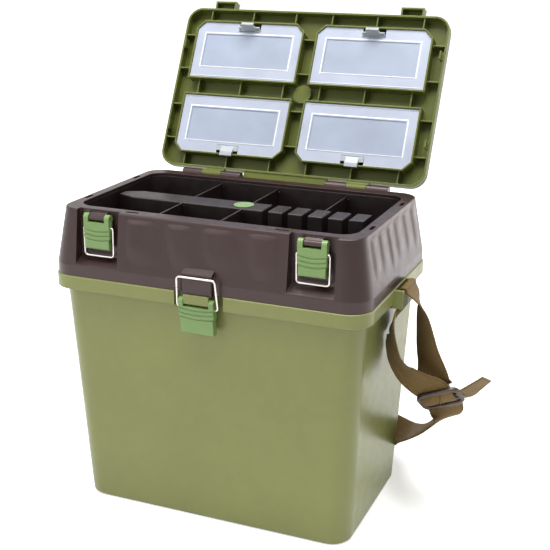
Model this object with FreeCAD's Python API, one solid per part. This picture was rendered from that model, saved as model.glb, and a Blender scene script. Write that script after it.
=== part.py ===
import FreeCAD, Part
import math
import os

# Two-tier fishing seat box, in millimetres, shown as in the photograph: lid open, lower tub shut.
# +X is to the right of somebody facing the latches, +Y is to the rear, +Z is up.
# The origin is the centre of the tub's flat underside.

V = FreeCAD.Vector
X_AXIS = V(1, 0, 0)
Y_AXIS = V(0, 1, 0)
Z_AXIS = V(0, 0, 1)

# How far a tool body is drawn past the surface it cuts, or a body into the one it joins
past = 1.0

# Lower tub
tub_base_length = 342.0
tub_base_width = 207.0
tub_base_radius = 25.0
tub_top_length = 370.5
tub_top_width = 229.0
tub_top_radius = 24.0
tub_height = 291.5
tub_wall = 3.0
tub_floor = 3.0
tub_edge_fillet = 2.5
foot_height = 1.2
foot_inset = 3.0

# Band that stands proud around the tub's mouth, hollow underneath
band_overhang = 9.5
band_height = 16.5
band_radius_growth = 4.0
band_skin = 2.6
band_fillet = 1.6
band_notch_half = 30.0

# Strap lugs on the band's two short sides
lug_half_width = 26.0
lug_slot_half = 21.5
lug_slot_gap = 7.0
lug_bar = 4.0
lug_height = 21.0
lug_bar_fillet = 1.8

# Upper housing
housing_step = 1.5
housing_height = 78.5
housing_skirt = 13.0
housing_wall = 3.0
rim_inset_length = 10.75
rim_inset_width = 9.0
rim_radius = 22.5
rim_thickness = 4.0
rim_fillet = 2.0
rim_margin_length = 13.0
rim_margin_width = 18.0
rim_opening_radius = 20.0
rim_slot_length = 16.0
rim_slot_width = 4.6
rim_slot_side_inset = 6.0
rim_slot_side_y = 57.0
rim_slot_front_inset = 10.0
rim_slot_front_x = 91.0

# Tray insert that hangs under the rim, with its central spine
tray_wall = 2.5
tray_depth = 64.5
tray_flange = 3.0
tray_flange_thickness = 2.5
spine_half_width = 16.0
spine_below_rim = 6.0
spine_left_gap = 5.0
spine_nose = 22.0
spine_nose_half = 7.0
spine_skin = 2.5
block_count = 5
block_length = 18.0
block_slot = 6.6
block_slot_depth = 40.0
block_fillet = 1.5
first_slot_x = 30.3
badge_radius_x = 12.0
badge_radius_y = 12.5
badge_thickness = 0.8

# Divider plates, loose in guide ribs
divider_thickness = 2.0
divider_below_rim = 7.0
divider_clearance = 0.25
divider_rear_x = [-73.5, 4.0, 96.0]
divider_front_x = [-73.5, 4.0]
guide_rib = 1.5
guide_below_divider = 3.0

# Latch recesses in the housing's front
latch_inset = 52.0
recess_half_width = 27.0
recess_above_tub = 14.5
recess_slope_rise = 8.5
recess_depth = 7.0

# Draw latches: lever, wire bail and pin
lug_side_clearance = 0.4
pin_radius = 1.5
running_clearance = 0.05
bail_wire_radius = 1.25
bail_pin_reach = 5.0
bail_corner_radius = 4.0
groove_count = 3
groove_radius = 0.9
groove_pitch = 5.2
groove_margin = 2.0
groove_sag = 1.7
lever_tip_fillet = 2.2

lid_lever_width = 33.0
lid_lever_drop = 36.2
lid_lever_thickness = 8.0
lid_lever_ear_radius = 4.8
lid_lever_notch_half = 10.5
lid_lever_notch_floor = 4.6
lid_lever_tab_inset = 1.0
lid_lever_first_groove = 13.5
lid_pivot_below_rim = 8.0
lid_lug_radius = 3.6
lid_lug_cap_setback = 3.0
lid_lug_cap_rise = 5.5
lid_bail_below_pivot = 11.0
lid_bail_length = 34.0
lid_bail_clearance = 1.0

centre_lever_width = 42.4
centre_lever_drop = 37.5
centre_lever_thickness = 8.2
centre_lever_ear_radius = 4.8
centre_lever_notch_half = 15.7
centre_lever_notch_floor = 4.8
centre_lever_tab_inset = 1.2
centre_lever_first_groove = 7.0
centre_lever_lean = 6.0
centre_pivot_reach = 3.0
centre_pivot_below_mouth = 8.5
centre_lug_radius = 3.8
centre_bail_below_pivot = 7.3
centre_bail_clearance = 2.3
centre_bail_taper = 1.5
centre_wire_above_mouth = 19.9

# Catch block of the centre latch, on the housing's front
catch_half_width = 18.5
catch_reach = 6.0
catch_block_height = 17.5
catch_lip_bottom = 21.6
catch_lip_edge = 23.8
catch_lip_root = 28.5
catch_fillet = 2.0
catch_wire_clearance = 0.5

# Lid, described shut, then turned open about its hinge
lid_width_inset = 5.0
lid_rear_inset = 1.5
lid_radius = 20.0
lid_gap = 0.5
lid_height = 15.5
lid_wall = 2.5
lid_top_skin = 2.5
lid_edge_fillet = 4.0
lid_open_angle = 117.14
lid_rib = 1.5
lid_rib_recess = 1.5
lid_rib_x = [25.5, 86.5, 148.0]
lid_rib_v = [25.5, 72.5]
lid_boss_radius = 12.0
lid_boss_height = 6.0
lid_hook_y = 57.5
lid_hook_length = 10.0
lid_hook_thickness = 2.0
lid_hook_reach = 6.0
lid_hook_foot = 5.0
catch_loop_width = 30.0
catch_loop_reach = 11.0
catch_loop_wall = 2.0
catch_loop_rise = 1.5
catch_loop_clearance = 0.3

# Lid hinge
lid_hinge_reach = 8.1
lid_hinge_below_rim = 3.0
lid_knuckle_radius = 6.5
lid_pin_radius = 2.0
knuckle_inner_x = 58.5
knuckle_mid_x = 86.5
knuckle_far_x = 113.0
knuckle_outer_x = 141.0
knuckle_gap = 0.5
hinge_arm_drop = 9.0
hinge_flange_depth = 9.0
hinge_flange_height = 2.5

# Housing's rear hinge on the tub
rear_hinge_x = 110.0
rear_hinge_half = 26.0
rear_hinge_tub_half = 10.0
rear_knuckle_radius = 4.5
rear_knuckle_reach = 5.0
rear_pin_radius = 2.0
rear_leaf_depth = 9.0
rear_leaf_edge = 2.0

# Pockets in the lid, with their covers and clips
pocket_length = 155.5
pocket_width = 82.0
pocket_centre_x = 86.5
pocket_centre_v = 51.4
pocket_chamfer = 11.0
pocket_wall = 2.0
pocket_proud = 4.0
cover_thickness = 1.5
cover_side_clearance = 0.4
cover_hinge_inset = 2.1
cover_edge = 1.5
cover_axis_depth = 2.6
cover_knob_radius = 1.2
cover_frame_inset_length = 14.0
cover_frame_inset_width = 17.0
cover_frame_width = 2.4
cover_frame_height = 0.7
clip_width = 30.0
clip_tab_width = 17.0
clip_strip_length = 6.0
clip_side_clearance = 0.5
clip_hinge_inset = 10.0
clip_thickness = 1.5
clip_lip = 1.0
clip_lip_drop = 3.0
clip_barrel_radius = 1.1
clip_pin_radius = 0.6
clip_wall_clearance = 0.4
clip_raised_angle = 60.0

# Shoulder strap of flat webbing, and its slide buckle
strap_width = 40.0
strap_thickness = 1.8
strap_rise = 1.2
strap_bar_gap = 0.25
strap_step_angle = 18.0
strap_trim = 0.45
buckle_along = V(0.2569, 0.6538, -0.7117)
buckle_across = V(0.9256, 0.0454, 0.3758)
buckle_out = 40.1
buckle_y = -2.0
buckle_below_mouth = 132.3
buckle_length = 56.0
buckle_depth = 33.0
buckle_thickness = 3.6
buckle_bar = 4.0
buckle_fillet = 3.0

# Values worked out from the sizes above
floor_top = foot_height + tub_floor
band_length = tub_top_length + 2 * band_overhang
band_width = tub_top_width + 2 * band_overhang
band_radius = tub_top_radius + band_radius_growth
band_bottom = tub_height - band_height
housing_base_length = band_length - 2 * housing_step
housing_base_width = band_width - 2 * housing_step
housing_base_radius = band_radius - housing_step
rim_length = housing_base_length - 2 * rim_inset_length
rim_width = housing_base_width - 2 * rim_inset_width
rim_top = tub_height + housing_height
under_rim = rim_top - rim_thickness
rim_opening_length = rim_length - 2 * rim_margin_length
rim_opening_width = rim_width - 2 * rim_margin_width
rim_slot_side_x = rim_length / 2 - rim_slot_side_inset
rim_slot_front_y = -rim_width / 2 + rim_slot_front_inset
tray_floor_top = rim_top - tray_depth
spine_top = rim_top - spine_below_rim
spine_left = -rim_opening_length / 2 + spine_left_gap
spine_right = first_slot_x + block_count * (block_length + block_slot)
divider_top = rim_top - divider_below_rim
latch_x = rim_length / 2 - latch_inset
latch_signs = [("left", -1), ("right", 1)]
recess_bottom = tub_height + recess_above_tub
recess_floor_y = -rim_width / 2 + recess_depth
lid_pivot_y = -rim_width / 2
lid_pivot_z = rim_top - lid_pivot_below_rim
centre_pivot_y = -band_width / 2 - centre_pivot_reach
centre_pivot_z = tub_height - centre_pivot_below_mouth
catch_front_y = -housing_base_width / 2 - catch_reach
catch_wire_y = catch_front_y - catch_wire_clearance - bail_wire_radius
lid_skirt_z = rim_top + lid_gap
lid_top_z = lid_skirt_z + lid_height
lid_ceiling_z = lid_top_z - lid_top_skin
lid_length = rim_length
lid_width = rim_width - lid_width_inset
lid_rear_y = rim_width / 2 - lid_rear_inset
lid_centre_y = lid_rear_y - lid_width / 2
lid_hinge_y = rim_width / 2 + lid_hinge_reach
lid_hinge_z = rim_top - lid_hinge_below_rim
lid_hook_x = rim_slot_side_x + lid_gap
catch_loop_top = (lid_pivot_z - lid_bail_below_pivot + lid_bail_length
                  - bail_wire_radius - catch_loop_clearance)
pocket_top_z = lid_skirt_z - pocket_proud
rear_hinge_y = band_width / 2 + rear_knuckle_reach
rear_hinge_z = tub_height
lug_in_x = band_length / 2 + lug_slot_gap - strap_thickness / 2 - strap_bar_gap
lug_out_x = band_length / 2 + lug_slot_gap + lug_bar + strap_thickness / 2 + strap_bar_gap
strap_top_z = tub_height + strap_rise
buckle_centre = V(lug_out_x + buckle_out, buckle_y, tub_height - buckle_below_mouth)
buckle_normal = buckle_along.cross(buckle_across)
buckle_normal.normalize()
lid_lever_sizes = {
    "width": lid_lever_width, "drop": lid_lever_drop, "thickness": lid_lever_thickness,
    "ear": lid_lever_ear_radius, "notch_half": lid_lever_notch_half, "notch_floor": lid_lever_notch_floor,
    "tab_inset": lid_lever_tab_inset, "first_groove": lid_lever_first_groove,
    "bail_below": lid_bail_below_pivot,
}
centre_lever_sizes = {
    "width": centre_lever_width, "drop": centre_lever_drop, "thickness": centre_lever_thickness,
    "ear": centre_lever_ear_radius, "notch_half": centre_lever_notch_half,
    "notch_floor": centre_lever_notch_floor, "tab_inset": centre_lever_tab_inset,
    "first_groove": centre_lever_first_groove, "bail_below": centre_bail_below_pivot,
}


def box(x0, x1, y0, y1, z0, z1):
    return Part.makeBox(x1 - x0, y1 - y0, z1 - z0, V(x0, y0, z0))


def rod_x(x0, x1, y, z, radius):
    return Part.makeCylinder(radius, x1 - x0, V(x0, y, z), X_AXIS)


def rounded_wire(length, width, radius, z, centre_y=0.0):
    half_l = length / 2
    half_w = width / 2
    flat_l = half_l - radius
    flat_w = half_w - radius
    slant = radius * math.sqrt(0.5)
    edges = []
    for turn in range(4):
        along = flat_l if turn % 2 == 0 else flat_w
        across = flat_w if turn % 2 == 0 else flat_l
        far = half_w if turn % 2 == 0 else half_l
        line = Part.makeLine(V(-along, -far, 0), V(along, -far, 0))
        corner = Part.Arc(V(along, -far, 0), V(along + slant, -across - slant, 0),
                          V(along + radius, -across, 0)).toShape()
        for edge in (line, corner):
            edge.rotate(V(0, 0, 0), Z_AXIS, 90 * turn)
            edge.translate(V(0, centre_y, z))
            edges.append(edge)
    return Part.Wire(edges)


def rounded_block(length, width, radius, z0, z1, centre_y=0.0):
    face = Part.Face(rounded_wire(length, width, radius, z0, centre_y))
    return face.extrude(V(0, 0, z1 - z0))


def tapered_block(low, high):
    return Part.makeLoft([rounded_wire(*low), rounded_wire(*high)], True, True)


def prism_x(points, x0, x1):
    corners = [V(x0, y, z) for y, z in points]
    wire = Part.makePolygon(corners + corners[:1])
    return Part.Face(wire).extrude(V(x1 - x0, 0, 0))


def prism_y(points, y0, y1):
    corners = [V(x, y0, z) for x, z in points]
    wire = Part.makePolygon(corners + corners[:1])
    return Part.Face(wire).extrude(V(0, y1 - y0, 0))


def mirrored(shape, normal):
    return shape.mirror(V(0, 0, 0), normal)


def rounded_path(points, radii):
    edges = []
    start = points[0]
    for before, corner, after, radius in zip(points, points[1:], points[2:], radii):
        back = before - corner
        ahead = after - corner
        back.normalize()
        ahead.normalize()
        half_angle = back.getAngle(ahead) / 2
        middle = back + ahead
        middle.normalize()
        centre = corner + middle * (radius / math.sin(half_angle))
        trim = radius / math.tan(half_angle)
        edges.append(Part.makeLine(start, corner + back * trim))
        bend = Part.Arc(corner + back * trim, centre - middle * radius, corner + ahead * trim)
        edges.append(bend.toShape())
        start = corner + ahead * trim
    edges.append(Part.makeLine(start, points[-1]))
    return Part.Wire(edges)


def save(name, shape):
    shape.exportStep("parts/" + name + ".step")
    volume = round(shape.Volume / 1000, 2)
    print(name, "solids", len(shape.Solids), "valid", shape.isValid(), "volume", volume)


def section(low, high, z0, z1, z, inset):
    share = (z - z0) / (z1 - z0)
    length, width, radius = [a + (b - a) * share - k * inset for a, b, k in zip(low, high, (2, 2, 1))]
    return (length, width, radius, z)


def tub_section(z, inset):
    return section((tub_base_length, tub_base_width, tub_base_radius),
                   (tub_top_length, tub_top_width, tub_top_radius), foot_height, band_bottom, z, inset)


def housing_section(z, inset):
    return section((housing_base_length, housing_base_width, housing_base_radius),
                   (rim_length, rim_width, rim_radius), tub_height + housing_skirt, rim_top, z, inset)


def housing_front_y(z):
    level = max(z, tub_height + housing_skirt)
    return -housing_section(level, 0)[1] / 2


def make_lower_tub():
    outer = tapered_block(tub_section(foot_height, 0), tub_section(band_bottom, 0))
    bottom_edges = [e for e in outer.Edges if e.BoundBox.ZMax < foot_height + tub_edge_fillet / 2]
    outer = outer.makeFillet(tub_edge_fillet, bottom_edges)
    sole = rounded_block(tub_base_length - 2 * foot_inset, tub_base_width - 2 * foot_inset,
                         tub_base_radius - foot_inset, 0.0, floor_top)
    mouth = rounded_block(tub_top_length, tub_top_width, tub_top_radius, band_bottom, tub_height)
    hollow = tapered_block(tub_section(floor_top, tub_wall), tub_section(band_bottom, tub_wall))
    wall2 = 2 * tub_wall
    throat = rounded_block(tub_top_length - wall2, tub_top_width - wall2,
                           tub_top_radius - tub_wall, band_bottom, tub_height)
    tub = outer.fuse([sole, mouth, make_band()])
    for side in (-1, 1):
        tub = tub.fuse(make_strap_lug(side))
        tub = tub.fuse(make_rear_tub_knuckle(side * rear_hinge_x))
    tub = tub.fuse(make_centre_latch_lug())
    tub = tub.cut(hollow.fuse(throat))
    tub = tub.cut(rod_x(-band_notch_half, band_notch_half, centre_pivot_y, centre_pivot_z, pin_radius))
    return tub.removeSplitter()


def make_band():
    outer = rounded_block(band_length, band_width, band_radius, band_bottom, tub_height)
    outer = outer.makeFillet(band_fillet, [e for e in outer.Edges if e.BoundBox.ZLength < 0.01])
    inner = rounded_block(band_length - 2 * band_skin, band_width - 2 * band_skin,
                          band_radius - band_skin, band_bottom, tub_height - band_skin)
    band = outer.cut(inner)
    front = -band_width / 2
    wall_y = -tub_top_width / 2
    notch = box(-band_notch_half, band_notch_half, front - past, wall_y,
                band_bottom - past, tub_height + past)
    band = band.cut(notch)
    for side in (-1, 1):
        x0, x1 = sorted((side * band_notch_half, side * (band_notch_half + band_skin)))
        band = band.fuse(box(x0, x1, front, wall_y + past, band_bottom, tub_height))
    return band


def make_centre_latch_lug():
    wall_y = -tub_top_width / 2
    half = centre_lever_notch_half - lug_side_clearance
    rod = rod_x(-half, half, centre_pivot_y, centre_pivot_z, centre_lug_radius)
    web = box(-half, half, centre_pivot_y, wall_y + past,
              centre_pivot_z - centre_lug_radius, centre_pivot_z)
    plate = box(-half, half, centre_pivot_y - centre_lug_radius, wall_y + past, centre_pivot_z, tub_height)
    return rod.fuse([web, plate])


def make_strap_lug(side):
    start = band_length / 2 - band_skin
    outer_x = band_length / 2 + lug_slot_gap + lug_bar
    bottom = tub_height - lug_height
    body = box(start, outer_x, -lug_half_width, lug_half_width, bottom, tub_height)
    inner_x = outer_x - lug_bar
    outer_edge = [e for e in body.Edges if e.BoundBox.ZMin > tub_height - 0.01
                  and e.BoundBox.XMin > outer_x - 0.01]
    body = body.makeFillet(lug_bar_fillet, outer_edge)
    slot = box(band_length / 2, inner_x, -lug_slot_half, lug_slot_half, bottom - past, tub_height + past)
    body = body.cut(slot)
    inner_edge = [e for e in body.Edges if e.BoundBox.ZMin > tub_height - 0.01
                  and abs(e.BoundBox.XMin - inner_x) < 0.01 and e.BoundBox.YLength > lug_slot_half]
    body = body.makeFillet(lug_bar_fillet, inner_edge)
    root = prism_y([(tub_top_length / 2 - past, band_bottom), (start + past, band_bottom),
                    (start + past, bottom), (tub_top_length / 2 - tub_wall / 2, bottom)],
                   lug_slot_half, lug_half_width)
    body = body.fuse([root, mirrored(root, Y_AXIS)])
    inner_void = box(start - past, band_length / 2, -lug_slot_half, lug_slot_half, bottom - past, band_bottom)
    body = body.cut(inner_void)
    return body if side > 0 else mirrored(body, X_AXIS)


def make_rear_tub_knuckle(centre_x):
    x0 = centre_x - rear_hinge_tub_half
    x1 = centre_x + rear_hinge_tub_half
    barrel = rod_x(x0, x1, rear_hinge_y, rear_hinge_z, rear_knuckle_radius)
    skin_y = band_width / 2 - band_skin
    leaf = prism_x([(skin_y, rear_hinge_z - rear_leaf_depth),
                    (skin_y, rear_hinge_z - lid_gap),
                    (rear_hinge_y, rear_hinge_z - lid_gap),
                    (rear_hinge_y + rear_knuckle_radius - past, rear_hinge_z - rear_leaf_edge)], x0, x1)
    bore = rod_x(x0 - past, x1 + past, rear_hinge_y, rear_hinge_z, rear_pin_radius)
    return barrel.fuse(leaf).cut(bore)


def make_rear_housing_knuckles(centre_x):
    inner = rear_hinge_tub_half + knuckle_gap
    wall_y = housing_base_width / 2 - housing_wall / 2
    pieces = []
    for x0, x1 in ((centre_x - rear_hinge_half, centre_x - inner),
                   (centre_x + inner, centre_x + rear_hinge_half)):
        barrel = rod_x(x0, x1, rear_hinge_y, rear_hinge_z, rear_knuckle_radius)
        leaf = prism_x([(wall_y, rear_hinge_z + lid_gap),
                        (rear_hinge_y, rear_hinge_z + lid_gap),
                        (rear_hinge_y + rear_knuckle_radius - past, rear_hinge_z + rear_leaf_edge),
                        (wall_y, rear_hinge_z + rear_leaf_depth)], x0, x1)
        bore = rod_x(x0 - past, x1 + past, rear_hinge_y, rear_hinge_z, rear_pin_radius + running_clearance)
        pieces.append(barrel.fuse(leaf).cut(bore))
    return pieces


def make_upper_housing():
    straight = tub_height + housing_skirt
    wall2 = 2 * housing_wall
    skirt = rounded_block(housing_base_length, housing_base_width, housing_base_radius, tub_height, straight)
    taper = tapered_block(housing_section(straight, 0), housing_section(rim_top, 0))
    taper = taper.makeFillet(rim_fillet, [e for e in taper.Edges if e.BoundBox.ZMin > rim_top - 0.01])
    inner_skirt = rounded_block(housing_base_length - wall2, housing_base_width - wall2,
                                housing_base_radius - housing_wall, tub_height, straight)
    inner = tapered_block(housing_section(straight, housing_wall), housing_section(under_rim, housing_wall))
    housing = skirt.fuse(taper).cut(inner_skirt.fuse(inner))
    opening = rounded_block(rim_opening_length, rim_opening_width, rim_opening_radius,
                            under_rim - past, rim_top + past)
    housing = housing.cut(opening)
    for name, side in latch_signs:
        housing = add_latch_recess(housing, side * latch_x)
    housing = housing.fuse(make_catch())
    for side in (-1, 1):
        for y_sign in (-1, 1):
            housing = housing.cut(slot_hole(side * rim_slot_side_x, y_sign * rim_slot_side_y,
                                            rim_slot_width, rim_slot_length))
        housing = housing.cut(slot_hole(side * rim_slot_front_x, rim_slot_front_y,
                                        rim_slot_length, rim_slot_width))
        housing = housing.fuse(make_rear_housing_knuckles(side * rear_hinge_x))
        for x0, x1 in ((knuckle_inner_x, knuckle_mid_x - knuckle_gap / 2),
                       (knuckle_far_x + knuckle_gap / 2, knuckle_outer_x)):
            piece = make_lid_knuckle_on_housing(x0, x1)
            housing = housing.fuse(piece if side > 0 else mirrored(piece, X_AXIS))
    return housing.removeSplitter()


def add_latch_recess(housing, centre):
    x0 = centre - recess_half_width
    x1 = centre + recess_half_width
    back_y = recess_floor_y + housing_wall
    low = recess_bottom - housing_wall
    front_y = -housing_base_width / 2
    liner = prism_x([(back_y, low), (housing_front_y(low) + past, low),
                     (housing_front_y(recess_bottom) + past, recess_bottom),
                     (housing_front_y(rim_top) + past, rim_top - past),
                     (back_y, rim_top - past)], x0 - housing_wall, x1 + housing_wall)
    hollow = prism_x([(recess_floor_y, rim_top + past),
                      (recess_floor_y, recess_bottom + recess_slope_rise),
                      (housing_front_y(recess_bottom), recess_bottom),
                      (front_y - past, recess_bottom), (front_y - past, rim_top + past)], x0, x1)
    half = lid_lever_notch_half - lug_side_clearance
    rod = rod_x(centre - half, centre + half, lid_pivot_y, lid_pivot_z, lid_lug_radius)
    web = prism_x([(lid_pivot_y, lid_pivot_z - lid_lug_radius),
                   (recess_floor_y + past, lid_pivot_z - lid_lug_radius),
                   (recess_floor_y + past, lid_pivot_z + lid_lug_cap_rise),
                   (lid_pivot_y + lid_lug_cap_setback, lid_pivot_z + lid_lug_cap_rise),
                   (lid_pivot_y, lid_pivot_z + lid_lug_radius)], centre - half, centre + half)
    housing = housing.fuse(liner).cut(hollow).fuse([rod, web])
    return housing.cut(rod_x(x0, x1, lid_pivot_y, lid_pivot_z, pin_radius))


def make_catch():
    wall_y = housing_front_y(tub_height + catch_lip_root) + past
    block = box(-catch_half_width, catch_half_width, catch_front_y, wall_y,
                tub_height, tub_height + catch_block_height)
    corners = [e for e in block.Edges if e.BoundBox.ZLength > catch_block_height / 2
               and e.BoundBox.YMax < catch_front_y + 0.01]
    block = block.makeFillet(catch_fillet, corners)
    lip = prism_x([(wall_y, tub_height + catch_lip_bottom), (catch_front_y, tub_height + catch_lip_bottom),
                   (catch_front_y, tub_height + catch_lip_edge), (wall_y, tub_height + catch_lip_root)],
                  -catch_half_width, catch_half_width)
    return [block, lip]


def slot_hole(x, y, size_x, size_y):
    return box(x - size_x / 2, x + size_x / 2, y - size_y / 2, y + size_y / 2,
               under_rim - past, rim_top + past)


def make_lid_knuckle_on_housing(x0, x1):
    barrel = rod_x(x0, x1, lid_hinge_y, lid_hinge_z, lid_knuckle_radius)
    wall_y = rim_width / 2 - housing_wall / 2
    arm = prism_x([(wall_y + past, lid_hinge_z - hinge_arm_drop),
                   (lid_hinge_y, lid_hinge_z - lid_knuckle_radius),
                   (lid_hinge_y, lid_hinge_z),
                   (wall_y, rim_top - past)], x0, x1)
    bore = rod_x(x0 - past, x1 + past, lid_hinge_y, lid_hinge_z, lid_pin_radius)
    return barrel.fuse(arm).cut(bore)


def make_tray_insert():
    wall2 = 2 * tray_wall
    floor_z = tray_floor_top - tray_wall
    outer = rounded_block(rim_opening_length + wall2, rim_opening_width + wall2,
                          rim_opening_radius + tray_wall, floor_z, under_rim)
    flange2 = wall2 + 2 * tray_flange
    flange = rounded_block(rim_opening_length + flange2, rim_opening_width + flange2,
                           rim_opening_radius + tray_wall + tray_flange,
                           under_rim - tray_flange_thickness, under_rim)
    hollow = rounded_block(rim_opening_length, rim_opening_width, rim_opening_radius,
                           tray_floor_top, under_rim + past)
    for name, side in latch_signs:
        reach = recess_half_width + housing_wall + past
        flange = flange.cut(box(side * latch_x - reach, side * latch_x + reach, -rim_width / 2,
                                recess_floor_y + housing_wall + lid_gap, tray_floor_top, rim_top))
    tray = outer.fuse(flange).cut(hollow)
    nose_x = spine_left + spine_nose
    outline = [V(spine_left, -spine_nose_half, 0), V(nose_x, -spine_half_width, 0),
               V(spine_right, -spine_half_width, 0), V(spine_right, spine_half_width, 0),
               V(nose_x, spine_half_width, 0), V(spine_left, spine_nose_half, 0)]
    spine_face = Part.Face(Part.makePolygon(outline + outline[:1]))
    spine_face.translate(V(0, 0, floor_z))
    spine = spine_face.extrude(V(0, 0, spine_top - floor_z))
    cores = []
    for index in range(block_count):
        slot_x = first_slot_x + index * (block_length + block_slot)
        block_x = slot_x + block_slot
        spine = spine.cut(box(slot_x, block_x, -spine_half_width - past, spine_half_width + past,
                              spine_top - block_slot_depth, spine_top + past))
        cores.append(spine_core(block_x, block_x + block_length))
    upright = [e for e in spine.Edges if e.BoundBox.ZMin > spine_top - block_slot_depth - 0.01
               and e.BoundBox.ZMax < spine_top + 0.01 and e.BoundBox.XMax < spine_right - 0.01
               and (e.BoundBox.ZMin > spine_top - 0.01 or e.BoundBox.ZLength > block_slot_depth / 2)]
    spine = spine.makeFillet(block_fillet, upright)
    cores.append(spine_core(nose_x, 0.0))
    cores.append(spine_core(-spine_skin, first_slot_x))
    tray = tray.fuse(spine).cut(cores)
    for x in divider_rear_x:
        tray = tray.fuse(guide_ribs(x, 1))
    for x in divider_front_x:
        tray = tray.fuse(guide_ribs(x, -1))
    return tray.removeSplitter()


def spine_core(x0, x1):
    inner = spine_half_width - spine_skin
    return box(x0 + spine_skin, x1 - spine_skin, -inner, inner,
               tray_floor_top - tray_wall - past, spine_top - spine_skin)


def guide_ribs(x, side):
    ribs = []
    near = divider_thickness / 2 + divider_clearance
    inner_y = rim_opening_width / 2
    for x_sign in (-1, 1):
        xa, xb = sorted((x + x_sign * near, x + x_sign * (near + guide_rib)))
        for y0, y1 in ((spine_half_width - past, spine_half_width + guide_rib),
                       (inner_y - guide_rib, inner_y + past)):
            ya, yb = sorted((side * y0, side * y1))
            ribs.append(box(xa, xb, ya, yb, tray_floor_top - past, divider_top - guide_below_divider))
    return ribs


def make_divider(x, side):
    y0 = spine_half_width + divider_clearance
    y1 = rim_opening_width / 2 - divider_clearance
    ya, yb = sorted((side * y0, side * y1))
    return box(x - divider_thickness / 2, x + divider_thickness / 2, ya, yb, tray_floor_top, divider_top)


def make_badge():
    ellipse = Part.Ellipse(V(0, 0, spine_top), badge_radius_y, badge_radius_x)
    face = Part.Face(Part.Wire(ellipse.toShape()))
    face.rotate(V(0, 0, spine_top), Z_AXIS, 90)
    return face.extrude(V(0, 0, badge_thickness))


def make_lever(centre_x, pivot_y, pivot_z, width, drop, thickness, ear, notch_half, notch_floor,
               tab_inset, first_groove, bail_below):
    half = width / 2
    front = pivot_y - ear
    tip_z = pivot_z - drop
    ears = rod_x(centre_x - half, centre_x + half, pivot_y, pivot_z, ear)
    plate = box(centre_x - half, centre_x + half, front, front + thickness, tip_z, pivot_z)
    tab_top = pivot_z - first_groove - (groove_count - 1) * groove_pitch
    for side in (-1, 1):
        x0, x1 = sorted((centre_x + side * (half - tab_inset), centre_x + side * (half + past)))
        plate = plate.cut(box(x0, x1, front - past, front + thickness + past, tip_z - past, tab_top))
    tip_edges = [e for e in plate.Edges if e.BoundBox.ZMax < tip_z + 0.01 and e.BoundBox.XLength > half]
    plate = plate.makeFillet(lever_tip_fillet, tip_edges)
    lever = ears.fuse(plate)
    lever = lever.cut(box(centre_x - notch_half, centre_x + notch_half, front - past, pivot_y + ear + past,
                          pivot_z - notch_floor, pivot_z + ear + past))
    lever = lever.cut(rod_x(centre_x - half - past, centre_x + half + past, pivot_y, pivot_z,
                            pin_radius + running_clearance))
    for side in (-1, 1):
        x0, x1 = sorted((centre_x + side * (half - bail_pin_reach - running_clearance),
                         centre_x + side * (half + past)))
        lever = lever.cut(rod_x(x0, x1, pivot_y, pivot_z - bail_below, bail_wire_radius + running_clearance))
    chord = half - groove_margin
    sweep = (chord ** 2 + groove_sag ** 2) / (2 * groove_sag)
    for index in range(groove_count):
        low = pivot_z - first_groove - index * groove_pitch - groove_sag
        lever = lever.cut(Part.makeTorus(sweep, groove_radius, V(centre_x, front, low + sweep), Y_AXIS))
    return lever.removeSplitter()


def make_bail(centre_x, width, clearance, taper, pin_y, pin_z, tip_y, tip_z):
    base = width / 2 + clearance + bail_wire_radius
    inner = width / 2 - bail_pin_reach
    reach = V(0, tip_y - pin_y, tip_z - pin_z)
    pin = V(centre_x, pin_y, pin_z)
    outline = [V(-inner, 0, 0), V(-base, 0, 0), V(-base + taper, 0, 0) + reach,
               V(base - taper, 0, 0) + reach, V(base, 0, 0), V(inner, 0, 0)]
    turn = clearance + bail_wire_radius
    path = rounded_path([pin + point for point in outline],
                        [turn, bail_corner_radius, bail_corner_radius, turn])
    profile = Part.Wire(Part.makeCircle(bail_wire_radius, pin + outline[0], X_AXIS))
    return path.makePipeShell([profile], True, False)


def pin_group(spans, y, z, radius):
    return Part.makeCompound([rod_x(x0, x1, y, z, radius) for x0, x1 in spans])


def pocket_outline(centre_x, side, inset, z):
    half_l = pocket_length / 2 - inset
    half_w = pocket_width / 2 - inset
    cut = pocket_chamfer - inset * (2 - math.sqrt(2))
    centre_y = lid_centre_y - side * pocket_centre_v
    points = [(-half_l, half_w), (half_l, half_w), (half_l, -half_w + cut), (half_l - cut, -half_w),
              (-half_l + cut, -half_w), (-half_l, -half_w + cut)]
    corners = [V(centre_x + x, centre_y + side * y, z) for x, y in points]
    return Part.Face(Part.makePolygon(corners + corners[:1]))


def pocket_places():
    return [(x_sign * pocket_centre_x, side) for x_sign in (-1, 1) for side in (1, -1)]


def cover_axis_y(side):
    return lid_centre_y - side * (pocket_centre_v - pocket_width / 2 + pocket_wall + cover_hinge_inset)


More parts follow.
